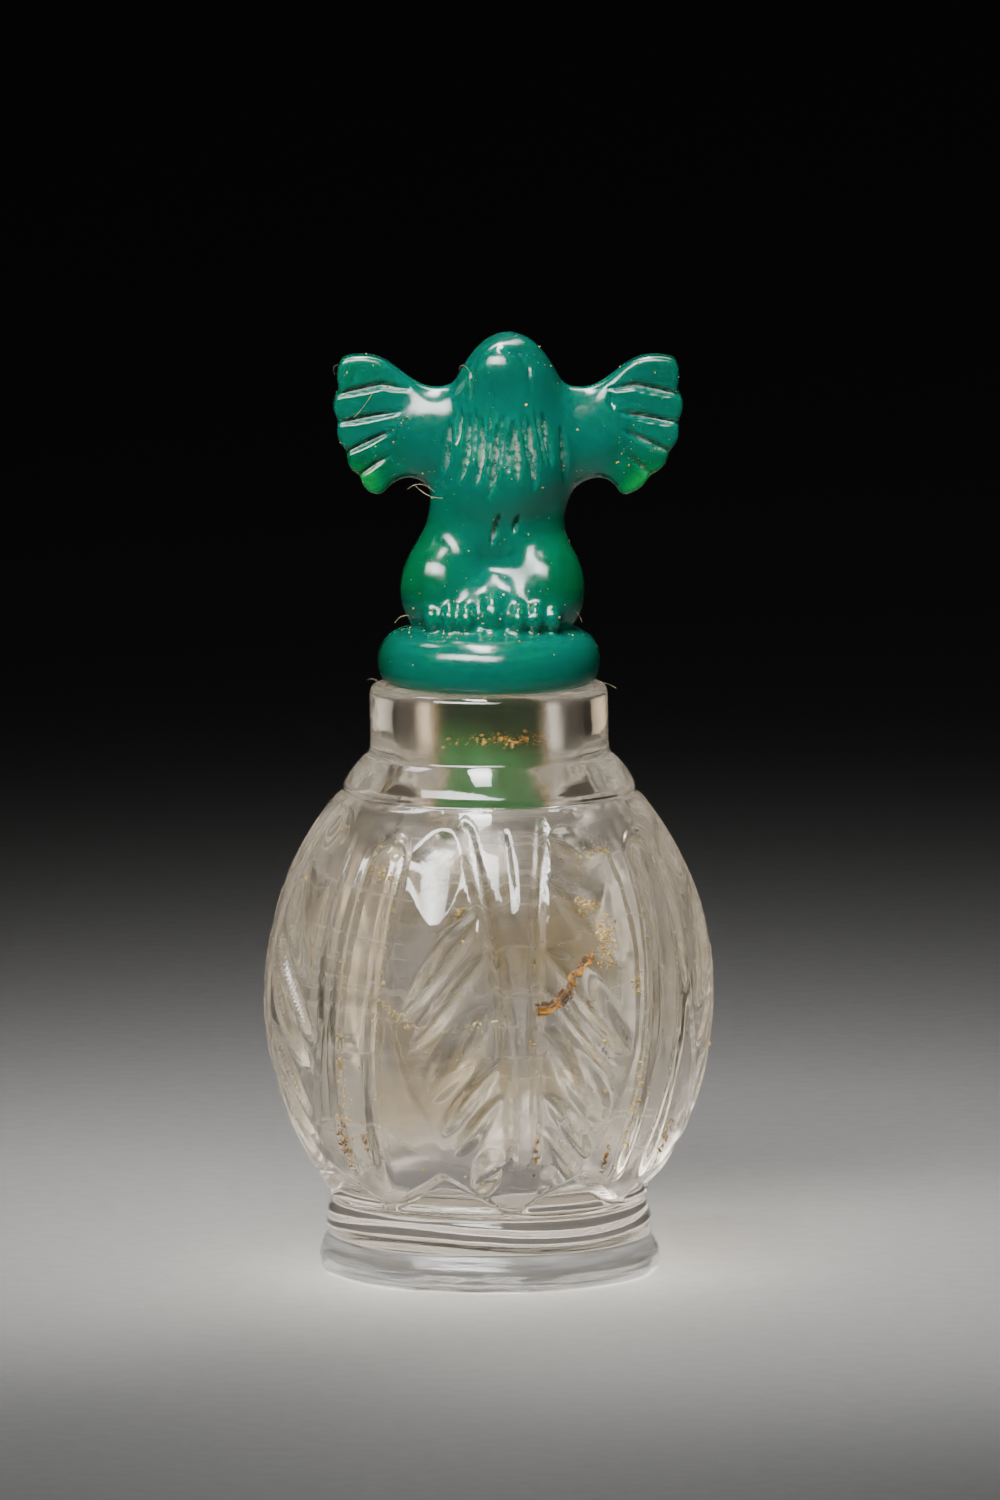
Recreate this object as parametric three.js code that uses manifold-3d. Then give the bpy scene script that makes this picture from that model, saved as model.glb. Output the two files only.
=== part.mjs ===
// A small rock crystal perfume bottle, hollow, with wheel-cut leaves, and its lift-out stopper,
// a bird with spread wings carved from one piece of green chalcedony.
// Millimetres, +Z up. The origin is the centre of the foot's underside, and the front faces -Y.
import * as THREE from "three";
import { mergeVertices } from "three/addons/utils/BufferGeometryUtils.js";
import Module from "manifold-3d";

const wasm = await Module();
wasm.setup();

// The bottle's outside, from the foot up: radii and the height of each zone.
const FOOT_RADIUS = 12.6;
const FOOT_HEIGHT = 2.7;
const FOOT_EDGE = 0.9;
const COLLAR_RADIUS = 12.15;
const COLLAR_HEIGHT = 2.0;
const FOOT_GROOVE = 0.3;
const WAIST_RADIUS = 11.6;
const WAIST_HEIGHT = 1.5;
const BODY_BASE_RADIUS = 11.9;
const BODY_RADIUS = 16.5;
const BODY_HEIGHT = 29;
const BELT_SHARE = 0.495;
const BODY_TOP_RADIUS = 11.4;
const LEDGE_RADIUS = 10.8;
const SHOULDER_HEIGHT = 3.2;
const NECK_RADIUS = 8.8;
const NECK_HEIGHT = 5.1;
const RIM_EDGE = 0.8;

// The bottle's inside: a drilled bore through the neck and a wide egg-shaped chamber in the body.
const BORE_RADIUS = 4.4;
const CHAMBER_RADIUS = 9.8;
const CHAMBER_FLOOR_RADIUS = 5;
const FLOOR_THICKNESS = 8.6;
const CHAMBER_TOP_WALL = 0.8;

// The carving: four hanging leaves, a tongue between each two, and a notch on either side of each tip.
const LEAVES = 4;
const LEAF_TURN = 8;
const LEAF_LEAN = 3;
const LEAF_HALF_ANGLE = 34;
const LEAF_FOOT_ANGLE = 14;
const VEINS = 8;
const VEIN_DEPTH = 1.0;
const VEIN_SLOPE = 1.0;
const MIDRIB_FOOT_ANGLE = 3.4;
const MIDRIB_TOP_ANGLE = 15;
const MIDRIB_HALF_WIDTH = 2.2;
const MIDRIB_DEPTH = 0.42;
const TONGUE_HALF_ANGLE = 6;
const TONGUE_GROOVE_HALF_WIDTH = 2.4;
const TONGUE_LEAST_ANGLE = 2.2;
const TONGUE_DEPTH = 0.45;
const NOTCH_DEPTH = 1.1;
const NOTCH_HEIGHT = 2.8;

// The stopper: a plug in the bore, a round pebble-edged flange on the rim, and the bird on it.
const PLUG_CLEARANCE = 0.3;
const PLUG_TAPER = 0.12;
const PLUG_LENGTH = 9.4;
const SEAT_GAP = 0.05;
const FLANGE_RADIUS = 8.15;
const FLANGE_HEIGHT = 4.1;
const FLANGE_SEAT_RADIUS = 7.3;
const MOUND_RADIUS = 6.0;
const BIRD_HEIGHT = 22.2;
const BIRD_SHIFT = 0.25;
const BIRD_LEAN = 1.15;

// Roundness of the turned and modelled pieces.
const BORE_SIDES = 28;
const SEAT_SIDES = 32;
const TRUNK_SIDES = 20;
const CURVE_STEPS = 2;
const TOOL_OVERSHOOT = 2;

// Heights that follow from the sizes above.
const collarBottom = FOOT_HEIGHT;
const waistBottom = collarBottom + COLLAR_HEIGHT;
const bodyBottom = waistBottom + WAIST_HEIGHT;
const bodyTop = bodyBottom + BODY_HEIGHT;
const beltHeight = bodyBottom + BODY_HEIGHT * BELT_SHARE;
const neckBottom = bodyTop + SHOULDER_HEIGHT;
const rimHeight = neckBottom + NECK_HEIGHT;
const seatHeight = rimHeight + SEAT_GAP;
const birdBottom = seatHeight + FLANGE_HEIGHT;

const radians = THREE.MathUtils.degToRad;
const mix = THREE.MathUtils.lerp;

// A three.js geometry as a solid that can be joined and cut.
function solid(geometry) {
  const bare = new THREE.BufferGeometry();
  bare.setAttribute("position", geometry.getAttribute("position"));
  bare.setIndex(geometry.index);
  const merged = mergeVertices(bare, 1e-4);
  return new wasm.Manifold(
    new wasm.Mesh({
      numProp: 3,
      vertProperties: merged.attributes.position.array,
      triVerts: new Uint32Array(merged.index.array),
    }),
  );
}

// A solid as a three.js mesh with its own material.
function named(name, body, color, roughness) {
  const made = body.getMesh();
  const geometry = new THREE.BufferGeometry();
  geometry.setAttribute("position", new THREE.BufferAttribute(made.vertProperties, 3));
  geometry.setIndex(new THREE.BufferAttribute(made.triVerts, 1));
  geometry.computeVertexNormals();
  const material = new THREE.MeshStandardMaterial({ color, roughness, metalness: 0 });
  const mesh = new THREE.Mesh(geometry, material);
  mesh.name = name;
  return mesh;
}

// Turns an outline of radius and height about Z.
function turned(points, sides) {
  return new THREE.LatheGeometry(points, sides).rotateX(Math.PI / 2);
}

// An ellipsoid with its half sizes, at a place.
function ellipsoid(half, at, around = 16, along = 10) {
  return new THREE.SphereGeometry(1, around, along).scale(...half).translate(...at);
}

// The body is two quarter ellipses that meet at the belt. Each reaches its end radius at its end height.
function ellipseHeight(endRadius, rise) {
  return rise / Math.sqrt(1 - (endRadius / BODY_RADIUS) ** 2);
}

const lowerEllipse = ellipseHeight(BODY_BASE_RADIUS, beltHeight - bodyBottom);
const upperEllipse = ellipseHeight(BODY_TOP_RADIUS, bodyTop - beltHeight);

function bodyRadius(height) {
  if (height < bodyBottom) return WAIST_RADIUS;
  const half = height < beltHeight ? lowerEllipse : upperEllipse;
  return BODY_RADIUS * Math.sqrt(1 - ((height - beltHeight) / half) ** 2);
}

// A wheel-cut groove: a long four-sided lens, bent to follow a route over a surface.
function groove(surface, route, width, depth) {
  const lens = new THREE.SphereGeometry(1, 4, 4);
  const place = lens.getAttribute("position");
  const reach = 0.02;
  for (let i = 0; i < place.count; i++) {
    const t = (1 + place.getY(i)) / 2;
    const { point, normal } = surface(...route(t));
    const before = surface(...route(Math.max(t - reach, 0))).point;
    const after = surface(...route(Math.min(t + reach, 1))).point;
    const along = after.sub(before).normalize();
    const across = along.cross(normal).normalize();
    point.addScaledVector(across, (place.getX(i) * width) / 2);
    point.addScaledVector(normal, place.getZ(i) * depth);
    place.setXYZ(i, point.x, point.y, point.z);
  }
  return solid(lens);
}

// Cuts each of the tools out of a body.
function carved(body, tools) {
  return tools.reduce((rest, tool) => rest.subtract(tool), body);
}

// The turned outline below the carved body, from the underside up.
function footOutline() {
  const collarWaist = mix(COLLAR_RADIUS, WAIST_RADIUS, 0.5);
  const footNeck = Math.min(FOOT_RADIUS, COLLAR_RADIUS) - FOOT_GROOVE;
  const outline = new THREE.Path();
  outline.moveTo(FOOT_RADIUS - FOOT_EDGE, 0);
  outline.quadraticCurveTo(FOOT_RADIUS, 0, FOOT_RADIUS, FOOT_EDGE);
  outline.quadraticCurveTo(FOOT_RADIUS, collarBottom * 0.8, footNeck, collarBottom);
  const bulge = collarBottom + COLLAR_HEIGHT * 0.4;
  outline.quadraticCurveTo(COLLAR_RADIUS + 0.1, bulge, collarWaist, waistBottom);
  outline.lineTo(WAIST_RADIUS, waistBottom + WAIST_HEIGHT * 0.4);
  return outline.getPoints(CURVE_STEPS);
}

// The turned outline above the carved body, up to the edge of the flat rim.
function neckOutline() {
  const ledge = SHOULDER_HEIGHT * 0.14;
  const slope = bodyTop + SHOULDER_HEIGHT * 0.75;
  const outline = new THREE.Path();
  outline.moveTo(LEDGE_RADIUS - 0.1, bodyTop + ledge);
  outline.lineTo(LEDGE_RADIUS, bodyTop + ledge * 2);
  outline.quadraticCurveTo(LEDGE_RADIUS - 0.7, slope, NECK_RADIUS + 0.15, neckBottom);
  outline.lineTo(NECK_RADIUS, neckBottom + NECK_HEIGHT * 0.12);
  outline.lineTo(NECK_RADIUS - 0.05, rimHeight - RIM_EDGE);
  outline.quadraticCurveTo(NECK_RADIUS - 0.05, rimHeight, NECK_RADIUS - RIM_EDGE, rimHeight);
  return outline.getPoints(CURVE_STEPS);
}

// The empty inside, from the chamber's floor to above the rim, to be cut out of the crystal.
function hollowOutline() {
  const top = bodyTop - CHAMBER_TOP_WALL;
  const middle = mix(FLOOR_THICKNESS, top, 0.45);
  const outline = new THREE.Path();
  outline.moveTo(0, FLOOR_THICKNESS);
  outline.lineTo(CHAMBER_FLOOR_RADIUS, FLOOR_THICKNESS);
  outline.quadraticCurveTo(CHAMBER_RADIUS, mix(FLOOR_THICKNESS, middle, 0.17), CHAMBER_RADIUS, middle);
  outline.quadraticCurveTo(CHAMBER_RADIUS, mix(middle, top, 0.78), BORE_RADIUS, top);
  outline.lineTo(BORE_RADIUS, rimHeight + TOOL_OVERSHOOT);
  outline.lineTo(0, rimHeight + TOOL_OVERSHOOT);
  return outline.getPoints(CURVE_STEPS + 3);
}

// How far things reach to each side of a leaf's middle, in degrees, at a share of the body's height.
function midribReach(rise) {
  return mix(MIDRIB_FOOT_ANGLE, MIDRIB_TOP_ANGLE, rise ** 4);
}

function leafReach(rise) {
  return mix(LEAF_FOOT_ANGLE, LEAF_HALF_ANGLE, THREE.MathUtils.smoothstep(rise, -0.1, 0.5));
}

// Half the tongue's width, which closes to a round top below the shoulder.
function tongueReach(rise) {
  const top = 0.9;
  const archShare = (BODY_RADIUS * radians(TONGUE_HALF_ANGLE)) / BODY_HEIGHT;
  const intoArch = Math.min(Math.max((rise - top + archShare) / archShare, 0), 1);
  return Math.max(TONGUE_HALF_ANGLE * Math.sqrt(1 - intoArch ** 2), TONGUE_LEAST_ANGLE);
}

// The upright lines of the carved grid over half a leaf and half a tongue. Each has its turn from the
// leaf's middle in degrees, the depth of its groove, and its part in the veins.
function gridLines(rise) {
  const halfPitch = 180 / LEAVES;
  const rib = midribReach(rise);
  const leafEdge = leafReach(rise);
  const leafStart = rib + MIDRIB_HALF_WIDTH;
  const tongue = halfPitch - tongueReach(rise);
  const inner = Math.max(tongueReach(rise) - TONGUE_GROOVE_HALF_WIDTH, TONGUE_LEAST_ANGLE / 2);
  const { smoothstep } = THREE.MathUtils;
  const inLeaf = smoothstep(rise, 0.02, 0.12) * smoothstep(1 - rise, 0, 0.05);
  const inTongue = rise > 0.08 && rise < 0.92 ? 1 : 0;
  const overTongue = Math.abs(rise - 0.9) < 0.03 ? 1 : 0;
  const inTick = rise > 0.8 && rise < 0.97 ? 1 : 0;
  const notchSide = mix(halfPitch / 2, tongue - TONGUE_GROOVE_HALF_WIDTH, Math.min(rise / 0.3, 1));
  const inNotch = Math.max(1 - (rise * BODY_HEIGHT) / NOTCH_HEIGHT, 0);
  return [
    { turn: 0, cut: MIDRIB_DEPTH * inTick, vein: 0 },
    { turn: rib - MIDRIB_HALF_WIDTH, cut: 0, vein: 0 },
    { turn: rib, cut: MIDRIB_DEPTH * inLeaf, vein: 0 },
    { turn: leafStart, cut: 0, vein: 0.45 * inLeaf },
    { turn: mix(leafStart, leafEdge, 0.5), cut: 0, vein: inLeaf },
    { turn: leafEdge, cut: 0, vein: 0.5 * inLeaf },
    { turn: notchSide, cut: NOTCH_DEPTH * inNotch, vein: 0 },
    { turn: tongue, cut: TONGUE_DEPTH * inTongue, vein: 0 },
    { turn: halfPitch - inner, cut: TONGUE_DEPTH * overTongue, vein: 0 },
    { turn: halfPitch, cut: TONGUE_DEPTH * overTongue, vein: 0 },
  ];
}

// One ring of the grid over the body. Its points drop away from each midrib as the veins do, and
// every second ring lies in the bottom of the vein grooves.
function bodyRing(rise, inVein) {
  const level = mix(bodyBottom, bodyTop, rise);
  const lines = gridLines(rise);
  const tilt = VEIN_SLOPE * Math.min(rise / 0.42, (1 - rise) / 0.22, 1);
  const leafStart = lines[3].turn;
  const leafEnd = lines[5].turn;
  const points = lines.map(({ turn, cut, vein }) => {
    const along = Math.min(Math.max(turn - leafStart, 0), leafEnd - leafStart);
    const back = Math.max(turn - leafEnd, 0) / (180 / LEAVES - leafEnd);
    const drop = bodyRadius(level) * radians(along) * tilt * (1 - back);
    const height = level - drop;
    return { turn, height, radius: bodyRadius(height) - cut - (inVein ? vein * VEIN_DEPTH : 0) };
  });
  return aroundBottle(points, rise);
}

// Half a leaf's points, mirrored and repeated round the bottle. The leaves lean a little.
function aroundBottle(points, rise) {
  const ring = [];
  for (let leaf = 0; leaf < LEAVES; leaf++) {
    const middle = LEAF_TURN + LEAF_LEAN * (1 - 2 * rise) + (leaf * 360) / LEAVES;
    const left = points.slice(1).reverse();
    for (const { turn, height, radius } of left) ring.push(atTurn(middle - turn, height, radius));
    const right = points.slice(0, -1);
    for (const { turn, height, radius } of right) ring.push(atTurn(middle + turn, height, radius));
  }
  return ring;
}

// A point by its turn from the front, its height and its distance from the axis.
function atTurn(turn, height, radius) {
  return [radius * Math.sin(radians(turn)), -radius * Math.cos(radians(turn)), height];
}

function turnedRing({ x, y }, rise) {
  const points = gridLines(rise).map(({ turn }) => ({ turn, height: y, radius: x }));
  return aroundBottle(points, rise);
}

// Rings joined one above the other and closed flat at the bottom and the top.
function stacked(rings) {
  const around = rings[0].length;
  const corners = rings.flat(2);
  const faces = [];
  for (let i = 0; i < rings.length - 1; i++) {
    for (let j = 0; j < around; j++) {
      const a = i * around + j;
      const b = i * around + ((j + 1) % around);
      faces.push(a, b, b + around, a, b + around, a + around);
    }
  }
  const top = (rings.length - 1) * around;
  const bottomCentre = rings.length * around;
  corners.push(0, 0, rings[0][0][2], 0, 0, rings.at(-1)[0][2]);
  for (let j = 0; j < around; j++) {
    const next = (j + 1) % around;
    faces.push(bottomCentre, next, j, bottomCentre + 1, top + j, top + next);
  }
  const geometry = new THREE.BufferGeometry();
  geometry.setAttribute("position", new THREE.Float32BufferAttribute(corners, 3));
  return geometry.setIndex(faces);
}

function crystalBottle() {
  const rings = footOutline().map((point) => turnedRing(point, 0));
  const levels = 2 * VEINS;
  for (let level = 0; level <= levels; level++) {
    rings.push(bodyRing(level / levels, level % 2 === 1));
  }
  rings.push(...neckOutline().map((point) => turnedRing(point, 1)));
  const hollow = solid(turned(hollowOutline(), BORE_SIDES));
  return solid(stacked(rings)).subtract(hollow);
}

// The plug, the flange and the low mound under the bird's feet, turned as one.
function stopperSeat() {
  const plugRadius = BORE_RADIUS - PLUG_CLEARANCE;
  const plugEnd = rimHeight - PLUG_LENGTH;
  const widest = mix(seatHeight, birdBottom, 0.42);
  const outline = new THREE.Path();
  outline.moveTo(0, plugEnd);
  outline.lineTo(plugRadius - PLUG_TAPER - 0.4, plugEnd);
  outline.lineTo(plugRadius - PLUG_TAPER, plugEnd + 0.4);
  outline.lineTo(plugRadius, seatHeight);
  outline.lineTo(FLANGE_SEAT_RADIUS, seatHeight);
  outline.quadraticCurveTo(FLANGE_RADIUS, seatHeight, FLANGE_RADIUS, widest);
  outline.quadraticCurveTo(FLANGE_RADIUS, birdBottom - 0.4, MOUND_RADIUS, birdBottom);
  outline.quadraticCurveTo(MOUND_RADIUS * 0.8, birdBottom + 0.9, 0, birdBottom + 1.2);
  return solid(turned(outline.getPoints(CURVE_STEPS + 1), SEAT_SIDES));
}

// The bird is laid out in shares of its height. Each station of its trunk, from the mound to the
// crown, has a height, a half width, a half depth and how far forward its middle lies.
const TRUNK = [
  [0.0, 0.25, 0.22, 0.0],
  [0.055, 0.265, 0.23, 0.0],
  [0.14, 0.305, 0.21, -0.01],
  [0.235, 0.278, 0.175, -0.015],
  [0.345, 0.228, 0.155, -0.01],
  [0.45, 0.235, 0.155, 0.0],
  [0.62, 0.225, 0.16, 0.01],
  [0.79, 0.19, 0.155, 0.025],
  [0.86, 0.163, 0.145, 0.035],
  [0.92, 0.125, 0.118, 0.035],
  [0.97, 0.078, 0.075, 0.03],
  [1.0, 0.0, 0.0, 0.025],
];

const share = (part) => part * BIRD_HEIGHT;

// The upper part of the bird stands a little to the right of its feet.
function leanAt(height) {
  const rise = THREE.MathUtils.smoothstep((height - birdBottom) / BIRD_HEIGHT, 0.25, 0.62);
  return BIRD_SHIFT + BIRD_LEAN * rise;
}

// A geometry laid out in shares about the bird's own axis, moved to its place on the flange.
function posed(geometry) {
  const place = geometry.getAttribute("position");
  for (let i = 0; i < place.count; i++) {
    const height = birdBottom + share(place.getZ(i));
    place.setXYZ(i, share(place.getX(i)) + leanAt(height), share(place.getY(i)), height);
  }
  return geometry;
}

function trunk() {
  const outline = TRUNK.map(([height, width]) => new THREE.Vector2(width, height));
  outline.unshift(new THREE.Vector2(0, TRUNK[0][0]));
  const body = turned(outline, TRUNK_SIDES);
  const place = body.getAttribute("position");
  for (let i = 0; i < place.count; i++) {
    const [, width, depth, forward] = TRUNK.find(([height]) => place.getZ(i) <= height + 1e-5);
    place.setY(i, (width ? (place.getY(i) * depth) / width : 0) - forward);
  }
  return solid(posed(body));
}

// A wing's flat blank: a fan of rounded feather ends about the wrist, a hollow leading edge and a
// hollow trailing edge. Its root lies inside the trunk.
const WRIST = [0.225, 0.735];
const FEATHER_REACH = 0.352;
const FEATHER_NOTCH = 0.338;
const FEATHER_ANGLES = [27, 10, -8, -25, -41, -60];
const WING_HALF_THICKNESS = 0.065;
const WING_EDGE = 0.035;

function fanPoint(angle, reach) {
  return [WRIST[0] + reach * Math.cos(radians(angle)), WRIST[1] + reach * Math.sin(radians(angle))];
}

function wingShape() {
  const outline = new THREE.Shape();
  outline.moveTo(0.08, 0.79);
  outline.lineTo(0.235, 0.785);
  outline.quadraticCurveTo(0.3, 0.81, 0.385, 0.878);
  outline.quadraticCurveTo(0.45, 0.925, ...fanPoint(FEATHER_ANGLES[0], FEATHER_REACH * 1.03));
  for (let i = 1; i < FEATHER_ANGLES.length; i++) {
    const middle = mix(FEATHER_ANGLES[i - 1], FEATHER_ANGLES[i], 0.5);
    const notch = fanPoint(FEATHER_ANGLES[i], FEATHER_NOTCH);
    outline.quadraticCurveTo(...fanPoint(middle, FEATHER_REACH * 1.06), ...notch);
  }
  outline.quadraticCurveTo(0.35, 0.53, 0.27, 0.49);
  outline.quadraticCurveTo(0.225, 0.47, 0.2, 0.4);
  outline.lineTo(0.08, 0.4);
  return outline;
}

// One wing, on the right for side 1 and on the left for side -1, with its feather grooves.
function wing(side) {
  const blank = new THREE.ExtrudeGeometry(wingShape(), {
    depth: 2 * (WING_HALF_THICKNESS - WING_EDGE),
    bevelThickness: WING_EDGE,
    bevelSize: WING_EDGE,
    bevelOffset: -WING_EDGE,
    bevelSegments: 1,
    curveSegments: 3,
  });
  blank.translate(0, 0, WING_EDGE - WING_HALF_THICKNESS).rotateX(Math.PI / 2);
  if (side < 0) blank.rotateZ(Math.PI);
  const made = solid(posed(blank));
  const cuts = [];
  for (const face of [-1, 1]) {
    const surface = (x, z) => {
      const height = birdBottom + share(z);
      const across = side * share(x) + leanAt(height);
      const point = new THREE.Vector3(across, face * share(WING_HALF_THICKNESS), height);
      return { point, normal: new THREE.Vector3(0, face, 0) };
    };
    for (const angle of FEATHER_ANGLES.slice(1, -1)) {
      const route = (t) => fanPoint(angle, mix(0.14, FEATHER_REACH + 0.03, t));
      cuts.push(groove(surface, route, share(0.034), share(0.03)));
    }
  }
  return carved(made, cuts);
}

// The rounded belly and chest in front of the trunk, and the feather strokes on the chest.
const BELLY = { half: [0.225, 0.17, 0.31], middle: [0, -0.03, 0.575] };

function bellySurface(x, z) {
  const [a, b, c] = BELLY.half;
  const [, middleY, middleZ] = BELLY.middle;
  const drop = Math.sqrt(Math.max(0.02, 1 - (x / a) ** 2 - ((z - middleZ) / c) ** 2));
  const height = birdBottom + share(z);
  const point = new THREE.Vector3(share(x) + leanAt(height), share(middleY - b * drop), height);
  const normal = new THREE.Vector3(x / a ** 2, -drop / b, (z - middleZ) / c ** 2).normalize();
  return { point, normal };
}

function chestCuts() {
  const strokes = 6;
  const cuts = [];
  for (let i = 0; i < strokes; i++) {
    const fan = mix(-1, 1, i / (strokes - 1));
    const length = 0.22 - 0.07 * Math.abs(fan);
    const top = 0.7 + 0.02 * Math.abs(fan);
    const route = (t) => [fan * mix(0.115, 0.135, t), top - length * t];
    cuts.push(groove(bellySurface, route, share(0.028), share(0.022)));
  }
  for (const x of [-0.03, 0.035]) {
    const route = (t) => [x, mix(0.42, 0.33, t)];
    cuts.push(groove(bellySurface, route, share(0.024), share(0.02)));
  }
  return cuts;
}

// The toes of one foot, fanned over the front of the mound.
function foot(side) {
  const toes = 3;
  const made = [];
  for (let i = 0; i < toes; i++) {
    const x = side * mix(0.085, 0.2, i / (toes - 1));
    const y = -0.225 + 1.4 * x * x;
    made.push(solid(posed(ellipsoid([0.027, 0.05, 0.06], [x, y, 0.055], 6, 4))));
  }
  return made;
}

function birdStopper() {
  const pieces = [stopperSeat(), trunk(), solid(posed(ellipsoid(BELLY.half, BELLY.middle)))];
  pieces.push(solid(posed(ellipsoid([0.1, 0.07, 0.125], [-0.022, -0.118, 0.845], 10, 8))));
  pieces.push(solid(posed(ellipsoid([0.16, 0.075, 0.26], [0, 0.12, 0.29], 10, 8))));
  pieces.push(solid(posed(ellipsoid([0.045, 0.06, 0.085], [0, -0.2, 0.06], 8, 6))));
  for (const side of [-1, 1]) {
    pieces.push(solid(posed(ellipsoid([0.14, 0.16, 0.18], [side * 0.168, -0.04, 0.14], 12, 8))));
    pieces.push(solid(posed(ellipsoid([0.24, 0.09, 0.16], [side * 0.2, -0.015, 0.65], 12, 8))));
    pieces.push(wing(side), ...foot(side));
  }
  const figure = pieces.reduce((whole, piece) => whole.add(piece));
  return carved(figure, chestCuts());
}

const bottleWithStopper = new THREE.Group();
bottleWithStopper.add(named("crystal_bottle", crystalBottle(), 0xe4e2dc, 0.08));
bottleWithStopper.add(named("bird_stopper", birdStopper(), 0x07785c, 0.2));

export default bottleWithStopper;
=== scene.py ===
# %% [markdown]
# # A rock crystal perfume bottle with a bird stopper
# The bottle is one piece of clear rock crystal, cut on a wheel with four hanging leaves. The
# stopper is one piece of green chalcedony, carved as a bird with spread wings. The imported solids
# are loaded first and never moved. Each of the two pieces below stands for one of them, in the
# same place, and adds the fine relief, the polish and the dust that the solids leave out.

import math

import bpy
import numpy as np
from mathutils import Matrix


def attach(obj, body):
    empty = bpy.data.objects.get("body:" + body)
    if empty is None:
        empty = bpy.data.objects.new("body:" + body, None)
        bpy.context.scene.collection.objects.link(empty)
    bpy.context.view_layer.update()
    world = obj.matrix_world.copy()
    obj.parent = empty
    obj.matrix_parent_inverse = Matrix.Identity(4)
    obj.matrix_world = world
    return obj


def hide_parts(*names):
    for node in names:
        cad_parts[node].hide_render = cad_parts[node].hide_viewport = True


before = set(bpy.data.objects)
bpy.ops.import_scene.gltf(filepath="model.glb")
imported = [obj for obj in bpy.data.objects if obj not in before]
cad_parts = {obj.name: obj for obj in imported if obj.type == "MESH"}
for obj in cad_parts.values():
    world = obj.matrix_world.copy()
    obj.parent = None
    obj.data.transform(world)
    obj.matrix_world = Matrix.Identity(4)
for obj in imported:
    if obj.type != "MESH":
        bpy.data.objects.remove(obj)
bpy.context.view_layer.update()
MM = 0.001
print("nodes:", sorted(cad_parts))

# %% [markdown]
# ## Sizes
# The main sizes repeat those of the solids, in millimetres, so that the finished pieces keep the
# same form. Only the fine cutting is added, and the leaves' grooves are a little shallower.

# %% Sizes of the bottle
FOOT_RADIUS, FOOT_HEIGHT, FOOT_EDGE, FOOT_GROOVE = 12.6, 2.7, 0.9, 0.3
COLLAR_RADIUS, COLLAR_HEIGHT = 12.15, 2.0
WAIST_RADIUS, WAIST_HEIGHT = 11.6, 1.5
BODY_BASE_RADIUS, BODY_RADIUS, BODY_TOP_RADIUS = 11.9, 16.5, 11.4
BODY_HEIGHT, BELT_SHARE = 29.0, 0.495
LEDGE_RADIUS, SHOULDER_HEIGHT = 10.8, 3.2
NECK_RADIUS, NECK_HEIGHT, RIM_EDGE = 8.8, 5.1, 0.8
BORE_RADIUS, CHAMBER_RADIUS, CHAMBER_FLOOR_RADIUS = 4.4, 9.8, 5.0
FLOOR_THICKNESS, CHAMBER_TOP_WALL = 8.6, 0.8

collar_bottom = FOOT_HEIGHT
waist_bottom = collar_bottom + COLLAR_HEIGHT
body_bottom = waist_bottom + WAIST_HEIGHT
body_top = body_bottom + BODY_HEIGHT
belt_height = body_bottom + BODY_HEIGHT * BELT_SHARE
neck_bottom = body_top + SHOULDER_HEIGHT
rim_height = neck_bottom + NECK_HEIGHT
print("rim at", rim_height, "mm")

# %% Sizes of the carving
LEAF_TURN, LEAF_LEAN, LEAF_HALF_ANGLE, LEAF_FOOT_ANGLE = 8.0, 3.0, 34.0, 14.0
VEINS, VEIN_DEPTH, VEIN_SLOPE = 8, 0.8, 1.1
MIDRIB_FOOT_ANGLE, MIDRIB_TOP_ANGLE, MIDRIB_DEPTH = 3.4, 15.0, 0.42
TONGUE_HALF_ANGLE, TONGUE_LEAN, TONGUE_DEPTH = 6.0, 4.0, 0.45
NOTCH_DEPTH, NOTCH_HEIGHT, NOTCH_HALF_ANGLE = 1.1, 2.8, 20.0

# %% [markdown]
# ## Helpers for shapes
# Most forms here are functions of a place: how far a point is along a vein, or how deep a groove
# is there. Numpy works them out for all of a mesh's points at once, which is quick enough for
# meshes of a hundred thousand points.


# %% Helpers for numbers
def mix(a, b, t):
    return a + (b - a) * t


def ease(x, low, high):
    """Rises smoothly from 0 at low to 1 at high."""
    t = np.clip((x - low) / (high - low), 0, 1)
    return t * t * (3 - 2 * t)


def scatter(*numbers):
    """A fixed random-looking number from 0 to 1 for each set of whole numbers."""
    total = sum(n * k for n, k in zip(numbers, (12.9898, 78.233, 37.719)))
    return np.mod(np.sin(total) * 43758.5453, 1)


def bend(start, corner, end, steps):
    """Points of a quadratic curve after its start."""
    t = np.linspace(0, 1, steps + 1)[1:, None]
    start, corner, end = map(np.array, (start, corner, end))
    return ((1 - t) ** 2 * start + 2 * t * (1 - t) * corner + t**2 * end).tolist()


def straight(start, end, steps):
    return bend(start, [(a + b) / 2 for a, b in zip(start, end)], end, steps)


# %% Helpers for meshes
def read_points(obj):
    flat = np.empty(len(obj.data.vertices) * 3)
    obj.data.vertices.foreach_get("co", flat)
    return flat.reshape(-1, 3)


def write_points(obj, points):
    obj.data.vertices.foreach_set("co", points.ravel())
    obj.data.update()


def read_normals(obj):
    flat = np.empty(len(obj.data.vertices) * 3)
    obj.data.vertex_normals.foreach_get("vector", flat)
    return flat.reshape(-1, 3)


def write_value(obj, name, values):
    """Keeps one number for each point of a mesh, which a material can read by its name."""
    layer = obj.data.attributes.new(name, "FLOAT", "POINT")
    layer.data.foreach_set("value", np.clip(values, 0, 1).astype(np.float32))


def only(obj):
    bpy.ops.object.select_all(action="DESELECT")
    obj.select_set(True)
    bpy.context.view_layer.objects.active = obj


def new_piece(name):
    """Names the object that an operator has just made, with its place moved into its mesh."""
    obj = bpy.context.object
    obj.name = obj.data.name = name
    bpy.ops.object.transform_apply(location=True, rotation=True, scale=True)
    return obj


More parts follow.
